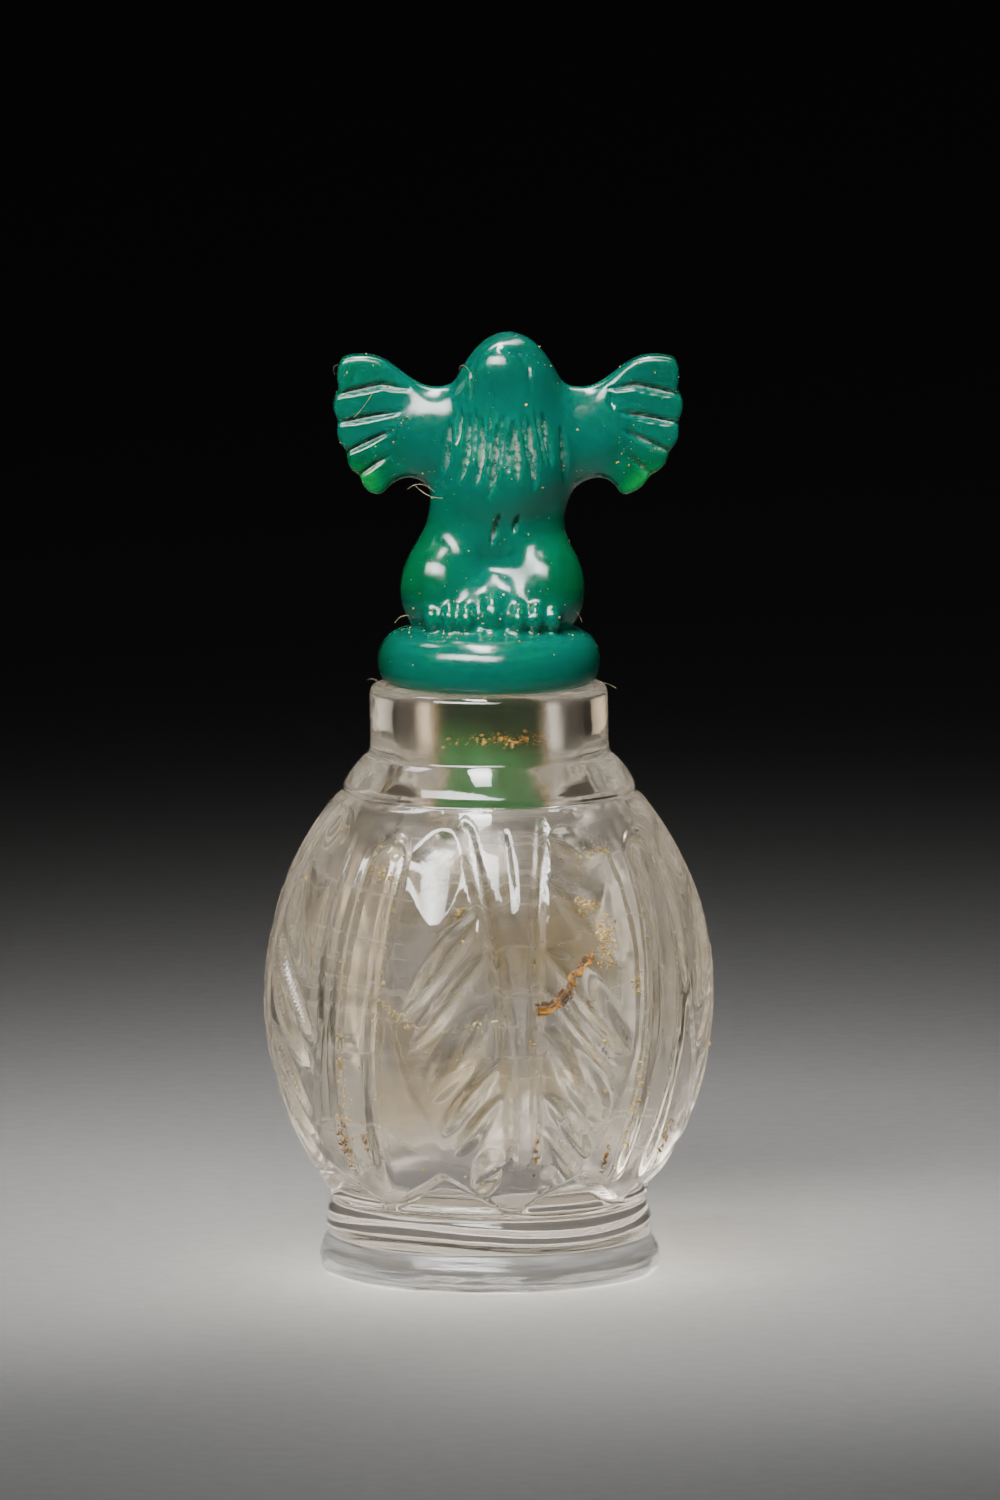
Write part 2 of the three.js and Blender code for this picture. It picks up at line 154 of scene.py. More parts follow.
def in_edit_mode(obj, *steps):
    only(obj)
    bpy.ops.object.mode_set(mode="EDIT")
    bpy.ops.mesh.select_all(action="SELECT")
    for step in steps:
        step()
    bpy.ops.object.mode_set(mode="OBJECT")


def triangles(obj):
    return sum(len(face.vertices) - 2 for face in obj.data.polygons)


# %% [markdown]
# ## The bottle's form
# The bottle was turned before it was carved, so its form is an outline spun about the axis. One
# grid is rolled round that outline: from the middle of the underside, up the outside, over the
# rim, down the bore and along the chamber to the middle of its floor. The wall then has its true
# thickness everywhere, which matters in crystal, because light bends at both of its faces.


# %% The body's two quarter ellipses
def ellipse_height(end_radius, rise):
    return rise / math.sqrt(1 - (end_radius / BODY_RADIUS) ** 2)


lower_ellipse = ellipse_height(BODY_BASE_RADIUS, belt_height - body_bottom)
upper_ellipse = ellipse_height(BODY_TOP_RADIUS, body_top - belt_height)


def body_radius(height):
    height = np.clip(height, body_bottom, body_top)
    half = np.where(height < belt_height, lower_ellipse, upper_ellipse)
    return BODY_RADIUS * np.sqrt(1 - ((height - belt_height) / half) ** 2)


# %% The outline from the underside, over the rim, to the chamber's floor
BODY_ROWS, COLUMNS = 116, 396

foot_neck = COLLAR_RADIUS - FOOT_GROOVE
chamber_top = body_top - CHAMBER_TOP_WALL
chamber_middle = mix(FLOOR_THICKNESS, chamber_top, 0.45)
outline = [[0, 0]]
outline += straight(outline[-1], (FOOT_RADIUS - FOOT_EDGE, 0), 7)
last_underside_row = len(outline) - 1
outline += bend(outline[-1], (FOOT_RADIUS, 0), (FOOT_RADIUS, FOOT_EDGE), 6)
last_foot_edge_row = len(outline) - 1
outline += bend(outline[-1], (FOOT_RADIUS, collar_bottom * 0.8), (foot_neck, collar_bottom), 8)
collar_bulge, collar_top_radius = (COLLAR_RADIUS + 0.1, 3.5), 11.87
outline += bend(outline[-1], collar_bulge, (collar_top_radius, waist_bottom), 9)
outline += straight(outline[-1], (WAIST_RADIUS, waist_bottom + 0.6), 3)
outline += straight(outline[-1], (BODY_BASE_RADIUS, body_bottom), 4)
first_body_row = len(outline) - 1
heights = np.linspace(body_bottom, body_top, BODY_ROWS + 1)[1:]
outline += np.column_stack([body_radius(heights), heights]).tolist()
last_body_row = len(outline) - 1
outline += straight(outline[-1], (LEDGE_RADIUS - 0.1, body_top + 0.45), 3)
outline += straight(outline[-1], (LEDGE_RADIUS, body_top + 0.9), 3)
neck_foot = (NECK_RADIUS + 0.15, neck_bottom)
outline += bend(outline[-1], (LEDGE_RADIUS - 0.7, body_top + 2.4), neck_foot, 10)
outline += straight(outline[-1], (NECK_RADIUS, neck_bottom + 0.6), 3)
outline += straight(outline[-1], (NECK_RADIUS - 0.05, rim_height - RIM_EDGE), 8)
rim_outer_edge = (NECK_RADIUS - RIM_EDGE, rim_height)
outline += bend(outline[-1], (NECK_RADIUS - 0.05, rim_height), rim_outer_edge, 6)
outline += straight(outline[-1], (BORE_RADIUS + 0.4, rim_height), 5)
first_inner_row = len(outline) - 1
outline += bend(outline[-1], (BORE_RADIUS, rim_height), (BORE_RADIUS, rim_height - 0.35), 4)
first_drilled_row = len(outline) + 3
outline += straight(outline[-1], (BORE_RADIUS, chamber_top), 12)
upper_corner = (CHAMBER_RADIUS, mix(chamber_middle, chamber_top, 0.78))
lower_corner = (CHAMBER_RADIUS, mix(FLOOR_THICKNESS, chamber_middle, 0.17))
outline += bend(outline[-1], upper_corner, (CHAMBER_RADIUS, chamber_middle), 20)
outline += bend(outline[-1], lower_corner, (CHAMBER_FLOOR_RADIUS, FLOOR_THICKNESS), 16)
outline += straight(outline[-1], (0, FLOOR_THICKNESS), 4)
outline = np.array(outline)
print("outline rows:", len(outline))


# %% [markdown]
# ## The cut leaves
# A wheel leaves a groove that is widest and deepest in its middle and runs out to a point at each
# end. The veins are rows of such grooves, side by side, so that a sharp ridge is left between
# two. The function below tells how deep the crystal is cut at any turn and height.


# %% The parts of the cutting
def spread_from(turn, middle):
    """Degrees from the nearest of four middles a quarter turn apart, and which of the four it is."""
    off = turn - middle + 45
    return np.mod(off, 90) - 45, np.floor(off / 90) % 4


def vein_cuts(away, height, rib, edge, leaf, side):
    """Rows of long petals that hang down and outwards from the midrib, some broad and some thin."""
    start = rib + 1.6
    level = height.copy()
    for _ in range(6):
        share = np.clip((level - body_bottom) / BODY_HEIGHT, 0, 1)
        tilt = VEIN_SLOPE * np.minimum(np.minimum((share + 0.1) / 0.3, (1.05 - share) / 0.2), 1)
        along = np.clip(away - start, 0, np.maximum(edge - start, 0.1))
        level = height + body_radius(level) * np.radians(along) * tilt
    share = (level - body_bottom) / BODY_HEIGHT
    place = share * VEINS - 0.3 - 0.35 * side
    place = place + 0.2 * np.sin(place * 2.3 + leaf * 1.7 + side * 2.9)
    vein = np.round(place)
    off = np.abs(place - vein)
    luck = scatter(vein, leaf, side)
    t = np.clip((away - start) / (edge - start), 0, 1) / (0.82 + 0.18 * luck)
    spindle = np.sin(math.pi * np.clip(t, 0, 1)) ** 0.7
    petal = np.clip(1 - (off / (0.05 + (0.3 + 0.16 * luck) * spindle)) ** 1.6, 0, 1) * spindle
    in_leaf = ease(share, 0.03, 0.1) * ease(1.06 - share, 0.0, 0.06) * (away < edge) * (away > start)
    return VEIN_DEPTH * petal * (0.7 + 0.5 * luck) * in_leaf


def tongue_cuts(across, height, half, rise):
    """A groove up one side of the tongue, round its top and down the other side."""
    radius_at_top = 13.5
    spring = mix(body_bottom, body_top, 0.93) - math.radians(TONGUE_HALF_ANGLE) * radius_at_top
    off = np.abs(np.hypot(across, np.maximum(height - spring, 0)) - half)
    groove = TONGUE_DEPTH * ease(rise, 0.05, 0.14) * np.clip(1 - (off / 0.75) ** 1.8, 0, 1)
    inside = np.clip(1 - across / half, 0, 1) * (height < spring)
    flute = 0.22 * inside * ease(rise, 0.3, 0.6) * ease(1 - rise, 0.18, 0.4)
    return np.maximum(groove, flute) - 0.16 * inside * ease(rise, 0.06, 0.16)


# %% How deep the crystal is cut
def cut_depth(turn, height):
    """Depth in millimetres, and how much of it is the bottom of a groove, from 0 to 1."""
    rise = np.clip((height - body_bottom) / BODY_HEIGHT, 0, 1)
    from_leaf, leaf = spread_from(turn, LEAF_TURN + LEAF_LEAN * (1 - 2 * rise))
    from_tongue, _ = spread_from(turn, LEAF_TURN + 45 + TONGUE_LEAN * (2 * rise - 1))
    side = np.where(from_leaf < 0, 0, 1)
    away = np.abs(from_leaf)
    radius = body_radius(height)
    per_degree = radius * math.pi / 180

    rib = mix(MIDRIB_FOOT_ANGLE, MIDRIB_TOP_ANGLE, rise**4)
    edge = mix(LEAF_FOOT_ANGLE, LEAF_HALF_ANGLE, ease(rise, -0.1, 0.52))
    edge = edge + 0.9 * np.sin(rise * 9 + leaf * 2 + side)
    veins = vein_cuts(away, height, rib, edge, leaf, side)

    rib_off = np.abs(away - rib) * per_degree
    rib_taper = ease(rise, 0.03, 0.2) * ease(1 - rise, 0.0, 0.04)
    rib_width = (0.26 + 0.3 * rise + 0.12 * (1 - side)) * rib_taper + 0.05
    ribs = MIDRIB_DEPTH * rib_taper * np.clip(1 - (rib_off / rib_width) ** 3, 0, 1)
    tick_off = np.abs(from_leaf) * per_degree
    tick_taper = ease(rise, 0.76, 0.88) * ease(1 - rise, 0.02, 0.08)
    ticks = 1.3 * MIDRIB_DEPTH * tick_taper * np.clip(1 - (tick_off / 0.42) ** 2, 0, 1)

    across = np.abs(from_tongue) * per_degree
    half = TONGUE_HALF_ANGLE * per_degree
    tongues = tongue_cuts(across, height, half, rise)
    ground = 0.2 * ease(away, edge, edge + 0.8) * ease(rise, 0.1, 0.3) * ease(1 - rise, 0.03, 0.12)
    ground = ground * ease(across - half, 0.0, 0.6)

    up = (height - body_bottom) / NOTCH_HEIGHT
    lobe, _ = spread_from(2 * turn, 2 * LEAF_TURN + 45)
    notch = ease(1 - up - np.abs(lobe) / (2 * NOTCH_HALF_ANGLE), 0.0, 0.12)
    notches = np.minimum(NOTCH_DEPTH, np.maximum(radius - WAIST_RADIUS + 0.15, 0)) * notch

    depth = np.maximum.reduce([veins, ribs, ticks, tongues + ground, notches])
    groove = np.maximum.reduce([veins / VEIN_DEPTH, ribs / MIDRIB_DEPTH, tongues / TONGUE_DEPTH])
    return depth, np.clip(groove, 0, 1)


# %% Roll the grid round the outline
WELD_DISTANCE = 0.000004


def around_axis(angle, height, radius):
    """Points about the axis. The angle is 0 at the front and grows towards the viewer's right."""
    return np.column_stack([radius * np.sin(angle), -radius * np.cos(angle), height])


def sew(obj):
    """Joins the edges of a rolled grid where they meet, and turns its faces outwards."""
    in_edit_mode(
        obj,
        lambda: bpy.ops.mesh.remove_doubles(threshold=WELD_DISTANCE),
        lambda: bpy.ops.mesh.normals_make_consistent(inside=False),
    )


flat_rim_radius = 8.2
bpy.ops.mesh.primitive_grid_add(x_subdivisions=COLUMNS, y_subdivisions=len(outline) - 1, size=1)
bottle = new_piece("rock_crystal_bottle")
flat = read_points(bottle)
turn = (flat[:, 0] + 0.5) * 360
row = np.rint((flat[:, 1] + 0.5) * (len(outline) - 1)).astype(int)
radius, height = outline[row, 0].copy(), outline[row, 1].copy()

body_rows = (row >= first_body_row) & (row <= last_body_row)
depth = np.zeros(len(row))
depth[body_rows] = cut_depth(turn[body_rows], height[body_rows])[0]
angle = np.radians(turn)
hand_cut = 0.07 * np.sin(2 * angle + height * 0.21 + 0.6) + 0.04 * np.sin(5 * angle - height * 0.5)
outside = (row > last_underside_row) & (row < first_inner_row)
radius -= depth
radius[outside] += hand_cut[outside] * (radius[outside] > flat_rim_radius)
below_body = (row > last_foot_edge_row + 1) & (row < first_body_row)
radius[below_body] += 0.06 * np.sin(5.5 * height + 1.5 * np.sin(3 * angle))[below_body]
foot_rim = (row >= last_underside_row) & (row <= last_foot_edge_row)
radius[foot_rim] -= 0.1 * (1 + np.sin(11 * angle + 1.7 * np.sin(4 * angle)))[foot_rim]
drilled = row >= first_drilled_row
marks = 0.008 * np.sin(height * 9.1) + 0.025 * np.sin(height * 1.3 + 2 * angle)
radius[drilled] += (marks * (radius > 2))[drilled]
write_points(bottle, around_axis(angle, height, radius) * MM)
sew(bottle)
bpy.ops.object.shade_smooth()
bottle_points = read_points(bottle) / MM
x, y, height = bottle_points.T
carved = (height > body_bottom) & (height < body_top) & (np.hypot(x, y) > body_radius(height) - 1.6)
bottle_groove = np.where(carved, cut_depth(np.degrees(np.arctan2(x, -y)), height)[1], 0)
write_value(bottle, "groove", bottle_groove)
print("bottle:", triangles(bottle), "triangles")

# %% [markdown]
# ## The stopper's blank
# The bird was carved from one pebble, and its forms run into each other without seams. So it is
# built the way a carver roughs it out: plain rounded masses pushed together, then joined into one
# skin by a voxel remesh and smoothed, and only then cut with grooves.

# %% Sizes of the stopper
PLUG_CLEARANCE, PLUG_TAPER, PLUG_LENGTH, SEAT_GAP = 0.3, 0.12, 9.4, 0.05
FLANGE_RADIUS, FLANGE_HEIGHT, FLANGE_SEAT_RADIUS, MOUND_RADIUS = 8.15, 4.1, 7.3, 6.0
BIRD_HEIGHT, BIRD_SHIFT, BIRD_LEAN = 22.2, 0.25, 1.15
seat_height = rim_height + SEAT_GAP
bird_bottom = seat_height + FLANGE_HEIGHT


def lean(share):
    """The upper part of the bird stands a little to the right of its feet."""
    return BIRD_SHIFT + BIRD_LEAN * ease(share, 0.25, 0.62)


def from_shares(points):
    """Points in shares of the bird's height about its own axis, as metres."""
    across = points[:, 0] * BIRD_HEIGHT + lean(points[:, 2])
    height = bird_bottom + points[:, 2] * BIRD_HEIGHT
    return np.column_stack([across, points[:, 1] * BIRD_HEIGHT, height]) * MM


# %% Spin the seat: the plug, the flange and the mound under the feet
def spun(name, section, around=96):
    """A closed section of radius and height, rolled about the axis in metres."""
    section = np.array(section)
    bpy.ops.mesh.primitive_grid_add(x_subdivisions=around, y_subdivisions=len(section) - 1, size=1)
    made = new_piece(name)
    at = read_points(made)
    angle = (at[:, 0] + 0.5) * 2 * math.pi
    row = np.rint((at[:, 1] + 0.5) * (len(section) - 1)).astype(int)
    radius, height = section[row, 0], section[row, 1]
    write_points(made, around_axis(angle, height, radius) * MM)
    sew(made)
    return made


plug_radius = BORE_RADIUS - PLUG_CLEARANCE
plug_end = rim_height - PLUG_LENGTH
widest = mix(seat_height, bird_bottom, 0.42)
section = [[0, plug_end]]
section += straight(section[-1], (plug_radius - PLUG_TAPER - 0.4, plug_end), 3)
section += straight(section[-1], (plug_radius - PLUG_TAPER, plug_end + 0.4), 2)
section += straight(section[-1], (plug_radius, seat_height), 16)
section += straight(section[-1], (FLANGE_SEAT_RADIUS, seat_height), 5)
section += bend(section[-1], (FLANGE_RADIUS, seat_height), (FLANGE_RADIUS, widest), 10)
section += bend(section[-1], (FLANGE_RADIUS, bird_bottom - 0.4), (MOUND_RADIUS, bird_bottom), 12)
section += bend(section[-1], (MOUND_RADIUS * 0.8, bird_bottom + 0.9), (0, bird_bottom + 1.2), 8)
seat = spun("stopper_seat", section)

# %% [markdown]
# ## The bird's masses
# Each mass is a ball squashed to its half sizes, in shares of the bird's height. The trunk is one
# ball whose rings are moved to the widths measured at its heights.

# %% The trunk's stations: height, half width, half depth and how far forward its middle lies
TRUNK = np.array([
    [0.0, 0.25, 0.22, 0.0],
    [0.055, 0.265, 0.23, 0.0],
    [0.14, 0.305, 0.21, -0.01],
    [0.235, 0.278, 0.175, -0.015],
    [0.345, 0.228, 0.155, -0.01],
    [0.45, 0.235, 0.155, 0.0],
    [0.62, 0.225, 0.16, 0.01],
    [0.79, 0.19, 0.155, 0.025],
    [0.86, 0.163, 0.145, 0.035],
    [0.92, 0.125, 0.118, 0.035],
    [0.97, 0.078, 0.075, 0.03],
    [1.0, 0.0, 0.0, 0.025],
])


def ball(name, half, middle, around=48, along=32):
    bpy.ops.mesh.primitive_uv_sphere_add(segments=around, ring_count=along, radius=1)
    made = new_piece(name)
    write_points(made, from_shares(read_points(made) * half + middle))
    return made


bpy.ops.mesh.primitive_uv_sphere_add(segments=72, ring_count=64, radius=1)
trunk = new_piece("trunk")
round_points = read_points(trunk)
share = np.arccos(np.clip(-round_points[:, 2], -1, 1)) / math.pi
ring = np.maximum(np.hypot(round_points[:, 0], round_points[:, 1]), 1e-6)
width, deep, forward = (np.interp(share, TRUNK[:, 0], TRUNK[:, i]) for i in (1, 2, 3))
closed = (share > 0.001) & (share < 0.999)
trunk_points = np.column_stack([
    round_points[:, 0] / ring * width * closed,
    round_points[:, 1] / ring * deep * closed - forward,
    share,
])
write_points(trunk, from_shares(trunk_points))

masses = [
    ball("belly", (0.225, 0.17, 0.31), (0, -0.03, 0.575)),
    ball("face", (0.1, 0.07, 0.125), (-0.022, -0.118, 0.845)),
    ball("tail", (0.16, 0.075, 0.26), (0, 0.12, 0.29)),
    ball("perch", (0.042, 0.05, 0.08), (0, -0.205, 0.065)),
]
for side, word in ((-1, "left"), (1, "right")):
    masses.append(ball(word + "_thigh", (0.14, 0.16, 0.18), (side * 0.168, -0.04, 0.14)))
    masses.append(ball(word + "_shoulder", (0.24, 0.09, 0.16), (side * 0.2, -0.015, 0.65)))
    for toe in range(3):
        x = side * mix(0.085, 0.2, toe / 2)
        toe_middle = (x, -0.222 + 1.4 * x * x, 0.05)
        masses.append(ball(f"{word}_toe_{toe}", (0.03, 0.055, 0.055), toe_middle, 24, 16))
print("masses:", len(masses) + 2)

# %% [markdown]
# ## The wings
# A wing is a flat fan. Its outline goes round the rounded ends of six feathers, so it starts as
# a disc whose rim is moved onto that outline and is then extruded to the wing's thickness.

# %% The wings' outline
WRIST = (0.225, 0.735)
FEATHER_REACH, FEATHER_NOTCH = 0.352, 0.338
FEATHER_ANGLES = (27, 10, -8, -25, -41, -60)
WING_HALF_THICKNESS = 0.06


def fan(angle, reach):
    turn = math.radians(angle)
    return (WRIST[0] + reach * math.cos(turn), WRIST[1] + reach * math.sin(turn))


wing_line = [(0.08, 0.79)]
wing_line += straight(wing_line[-1], (0.235, 0.785), 4)
wing_line += bend(wing_line[-1], (0.3, 0.81), (0.385, 0.878), 5)
wing_line += bend(wing_line[-1], (0.45, 0.925), fan(FEATHER_ANGLES[0], FEATHER_REACH * 1.03), 5)
for before, after in zip(FEATHER_ANGLES, FEATHER_ANGLES[1:]):
    feather_end = fan((before + after) / 2, FEATHER_REACH * 1.06)
    wing_line += bend(wing_line[-1], feather_end, fan(after, FEATHER_NOTCH), 7)
wing_line += bend(wing_line[-1], (0.35, 0.53), (0.27, 0.49), 6)
wing_line += bend(wing_line[-1], (0.225, 0.47), (0.2, 0.4), 4)
wing_line += straight(wing_line[-1], (0.08, 0.4), 3)
wing_line = np.array(wing_line)

# %% Cut and thicken the two wings
for side, word in ((-1, "left"), (1, "right")):
    bpy.ops.mesh.primitive_circle_add(vertices=len(wing_line), radius=1, fill_type="NGON")
    wing = new_piece(word + "_wing")
    forward = np.full(len(wing_line), -WING_HALF_THICKNESS)
    front_face = np.column_stack([side * wing_line[:, 0], forward, wing_line[:, 1]])
    write_points(wing, from_shares(front_face))
    through = 2 * WING_HALF_THICKNESS * BIRD_HEIGHT * MM
    in_edit_mode(
        wing,
        lambda: bpy.ops.mesh.extrude_region_move(TRANSFORM_OT_translate={"value": (0, through, 0)}),
        lambda: bpy.ops.mesh.select_all(action="SELECT"),
        lambda: bpy.ops.mesh.normals_make_consistent(inside=False),
    )
    masses.append(wing)

# %% [markdown]
# ## One skin
# The voxel remesh wraps all the masses in one even skin. It needs voxels well under the width of
# the finest groove, and smoothing afterwards rounds the steps where two masses meet.

# %% Join, remesh and smooth
VOXEL = 0.175


def merge(first, others):
    only(first)
    for other in others:
        other.select_set(True)
    bpy.ops.object.join()
    return first


def one_skin(obj):
    only(obj)
    remesh = obj.modifiers.new("one skin", "REMESH")
    remesh.mode, remesh.voxel_size = "VOXEL", VOXEL * MM
    bpy.ops.object.modifier_apply(modifier="one skin")


def smooth_out(obj, factor, times, group=""):
    only(obj)
    smooth = obj.modifiers.new("ease", "SMOOTH")
    smooth.factor, smooth.iterations, smooth.vertex_group = factor, times, group
    bpy.ops.object.modifier_apply(modifier="ease")


bird = merge(trunk, masses)
bird.name = bird.data.name = "chalcedony_bird_stopper"
one_skin(bird)
at = read_points(bird)
z = (at[:, 2] / MM - bird_bottom) / BIRD_HEIGHT
x = np.abs(at[:, 0] / MM - lean(z)) / BIRD_HEIGHT
softness = np.clip(0.12 + ease(-x, -0.42, -0.3) * ease(z, 0.09, 0.2), 0, 1)
group = bird.vertex_groups.new(name="softness")
for level in range(1, 11):
    picked = np.flatnonzero(np.rint(softness * 10) == level)
    group.add(picked.tolist(), level / 10, "REPLACE")
smooth_out(bird, 0.6, 130, "softness")
merge(bird, [seat])
one_skin(bird)
smooth_out(bird, 0.5, 4)
print("bird:", triangles(bird), "triangles")

# %% [markdown]
# ## The bird's grooves
# Each groove is a stroke drawn on the front or the back of the bird, with a width and a depth. The
# stroke fades to nothing at both ends, as a wheel leaves it.


# %% Cut strokes into the skin
def stroke_depth(x, z, stroke):
    """Depth of one stroke, given as its line of points, half width and depth, in shares."""
    line, half, deep = stroke
    line = np.array(line, float)
    steps = np.hypot(*np.diff(line, axis=0).T)
    before = np.concatenate([[0], np.cumsum(steps)]) / steps.sum()
    best = np.zeros(len(x))
    for i, step in enumerate(steps):
        (x0, z0), (x1, z1) = line[i], line[i + 1]
        t = np.clip(((x - x0) * (x1 - x0) + (z - z0) * (z1 - z0)) / step**2, 0, 1)
        off = np.hypot(x - x0 - t * (x1 - x0), z - z0 - t * (z1 - z0))
        whole = before[i] + t * (before[i + 1] - before[i])
        body = np.sin(math.pi * np.clip(whole, 0.02, 0.98)) ** 0.6
        best = np.maximum(best, body * np.clip(1 - (off / (half * (0.35 + 0.65 * body))) ** 2, 0, 1))
    return best * deep


FRONT_STROKES = [
    ([(-0.147, 0.5), (-0.131, 0.72)], 0.015, 0.03),
    ([(-0.092, 0.49), (-0.088, 0.71)], 0.016, 0.032),
    ([(-0.04, 0.45), (-0.04, 0.69)], 0.016, 0.032),
    ([(0.005, 0.52), (-0.005, 0.66)], 0.012, 0.022),
    ([(0.045, 0.5), (0.018, 0.7)], 0.016, 0.03),
    ([(0.103, 0.48), (0.066, 0.71)], 0.016, 0.03),
    ([(0.146, 0.55), (0.115, 0.73)], 0.013, 0.024),
    ([(-0.205, 0.52), (-0.195, 0.7)], 0.014, 0.024),
    ([(0.2, 0.5), (0.175, 0.68)], 0.013, 0.02),
    ([(-0.006, 0.28), (0.006, 0.395)], 0.01, 0.026),
    ([(0.062, 0.33), (0.07, 0.39)], 0.009, 0.022),
    ([(-0.03, 0.94), (0.03, 0.925), (0.066, 0.88), (0.075, 0.8)], 0.01, 0.008),
    ([(-0.1, 0.91), (-0.12, 0.86), (-0.12, 0.77)], 0.01, 0.008),
    ([(-0.17, 0.62), (-0.155, 0.74)], 0.009, 0.02),
    ([(-0.115, 0.56), (-0.108, 0.74)], 0.008, 0.02),
    ([(-0.064, 0.5), (-0.062, 0.74)], 0.008, 0.022),
    ([(-0.018, 0.54), (-0.022, 0.73)], 0.008, 0.02),
    ([(0.026, 0.5), (0.008, 0.68)], 0.008, 0.02),
    ([(0.075, 0.54), (0.045, 0.73)], 0.008, 0.022),
    ([(0.125, 0.56), (0.09, 0.74)], 0.008, 0.02),
    ([(0.335, 0.79), (0.345, 0.73)], 0.012, 0.01),
]
WING_STROKES = [
    ([(0.33, 0.8), (0.42, 0.812), (0.59, 0.775)], 0.014, 0.022),
    ([(0.36, 0.725), (0.58, 0.682)], 0.013, 0.02),
    ([(0.38, 0.665), (0.56, 0.575)], 0.012, 0.02),
    ([(0.39, 0.585), (0.51, 0.49)], 0.011, 0.016),
]

DUST_FROM_DEPTH, DUST_RANGE = 0.009, 0.017

points, normals = read_points(bird), read_normals(bird)
z = (points[:, 2] / MM - bird_bottom) / BIRD_HEIGHT
x = (points[:, 0] / MM - lean(z)) / BIRD_HEIGHT
facing = -normals[:, 1]
depth = np.zeros(len(x))
for stroke in FRONT_STROKES:
    depth = np.maximum(depth, stroke_depth(x, z, stroke) * ease(facing, 0.05, 0.4))
for line, half, deep in WING_STROKES:
    for side in (-1, 1):
        one = [(side * a, b) for a, b in line]
        wing_cut = stroke_depth(x, z, (one, half, deep)) * ease(np.abs(facing), 0.05, 0.4)
        depth = np.maximum(depth, wing_cut * np.where(facing > 0, 1, 0.8))
lap_hollow = 0.045 * np.exp(-((x / 0.085) ** 2) - ((z - 0.21) / 0.075) ** 2) * (facing > 0)
points[:, 1] += lap_hollow * BIRD_HEIGHT * MM
points -= normals * depth[:, None] * BIRD_HEIGHT * MM
write_points(bird, points)
write_value(bird, "groove", (depth - DUST_FROM_DEPTH) / DUST_RANGE)
# Painted light and shade, kept per point: the thin feet of the wings are painted a brighter green,
# as if lit through; the hips and wing ends get a deeper green; the plug inside the bottle is painted
# darker, as if in the bottle's shade.
wing_foot = ease(np.abs(x), 0.28, 0.45) * ease(-z, -0.66, -0.48)
hip = ease(np.abs(x), 0.02, 0.28) * ease(-z, -0.5, -0.3) * ease(z, 0.05, 0.15)
wing_end, plug = ease(np.abs(x), 0.4, 0.56), z < -0.19
write_value(bird, "painted_light_and_shade", wing_foot + 0.75 * hip + 0.15 * wing_end + 0.6 * plug)
only(bird)
bpy.ops.object.shade_smooth()
print("deepest stroke:", round(depth.max() * BIRD_HEIGHT, 2), "mm")

# %% [markdown]
# ## Materials
# Colours are given as they are seen on a screen and turned to the linear numbers that the
# renderer works in by one small function.


# %% Colour and node helpers
def linear(code):
    parts = [int(code[i : i + 2], 16) / 255 for i in (1, 3, 5)]
    return [p / 12.92 if p <= 0.04045 else ((p + 0.055) / 1.055) ** 2.4 for p in parts] + [1.0]


def add(tree, kind, settings=None, inputs=None):
    """Adds a node, sets its options, and sets or links each of the inputs named."""
    made = tree.nodes.new(kind)
    for name, value in (settings or {}).items():
        setattr(made, name, value)
    for name, value in (inputs or {}).items():
        if isinstance(value, bpy.types.NodeSocket):
            tree.links.new(value, made.inputs[name])
        else:
            made.inputs[name].default_value = value
    return made


def new_material(name):
    """A material, its nodes, its shader, and where each point of the object lies."""
    material = bpy.data.materials.new(name)
    material.use_nodes = True
    tree = material.node_tree
    where = add(tree, "ShaderNodeTexCoord").outputs["Object"]
    return material, tree, tree.nodes["Principled BSDF"], where


def ramp(tree, source, *stops):
    """A colour ramp over a value, from stops of position and colour."""
    made = add(tree, "ShaderNodeValToRGB", inputs={"Fac": source})
    elements = made.color_ramp.elements
    while len(elements) < len(stops):
        elements.new(0.5)
    for element, (position, color) in zip(elements, stops):
        element.position, element.color = position, color
    return made.outputs["Color"]


def noise(tree, where, scale, detail):
    return add(
        tree, "ShaderNodeTexNoise", inputs={"Vector": where, "Scale": scale, "Detail": detail}
    ).outputs["Fac"]


def grey(value):
    return (value, value, value, 1)


def by_groove(tree, plain, dusty, where, scale):
    """From one colour to another where a groove is deep and a fine noise is high."""
    groove = add(tree, "ShaderNodeAttribute", {"attribute_name": "groove"}).outputs["Fac"]
    specks = noise(tree, where, scale, 5.0)
    caught = ramp(tree, specks, (0.42, grey(0)), (0.62, grey(1)))
    amount = add(tree, "ShaderNodeMath", {"operation": "MULTIPLY"}, {0: groove, 1: caught})
    colors = {"Fac": amount.outputs["Value"], "Color1": plain, "Color2": dusty}
    return add(tree, "ShaderNodeMixRGB", inputs=colors).outputs["Color"]


# %% Polished rock crystal, for the outside: clear, faintly warm, dull and dusty in the grooves
def new_crystal(name, clearness):
    material, tree, shader, where = new_material(name)
    shader.inputs["Transmission Weight"].default_value = clearness
    shader.inputs["IOR"].default_value = 1.544
    return material, tree, shader, where


crystal, tree, shader, where = new_crystal("polished_rock_crystal", 0.97)
tint = by_groove(tree, linear("#EDE0CC"), linear("#C9B78E"), where, 1500.0)
tree.links.new(tint, shader.inputs["Base Color"])
wear = noise(tree, where, 900.0, 4.0)
haze = ramp(tree, wear, (0.35, grey(0.035)), (0.75, grey(0.12)))
dull = by_groove(tree, haze, grey(0.3), where, 1500.0)
tree.links.new(dull, shader.inputs["Roughness"])
ripple = noise(tree, where, 420.0, 3.0)
bump = add(tree, "ShaderNodeBump", inputs={"Strength": 0.12, "Distance": 0.0003, "Height": ripple})
tree.links.new(bump.outputs["Normal"], shader.inputs["Normal"])

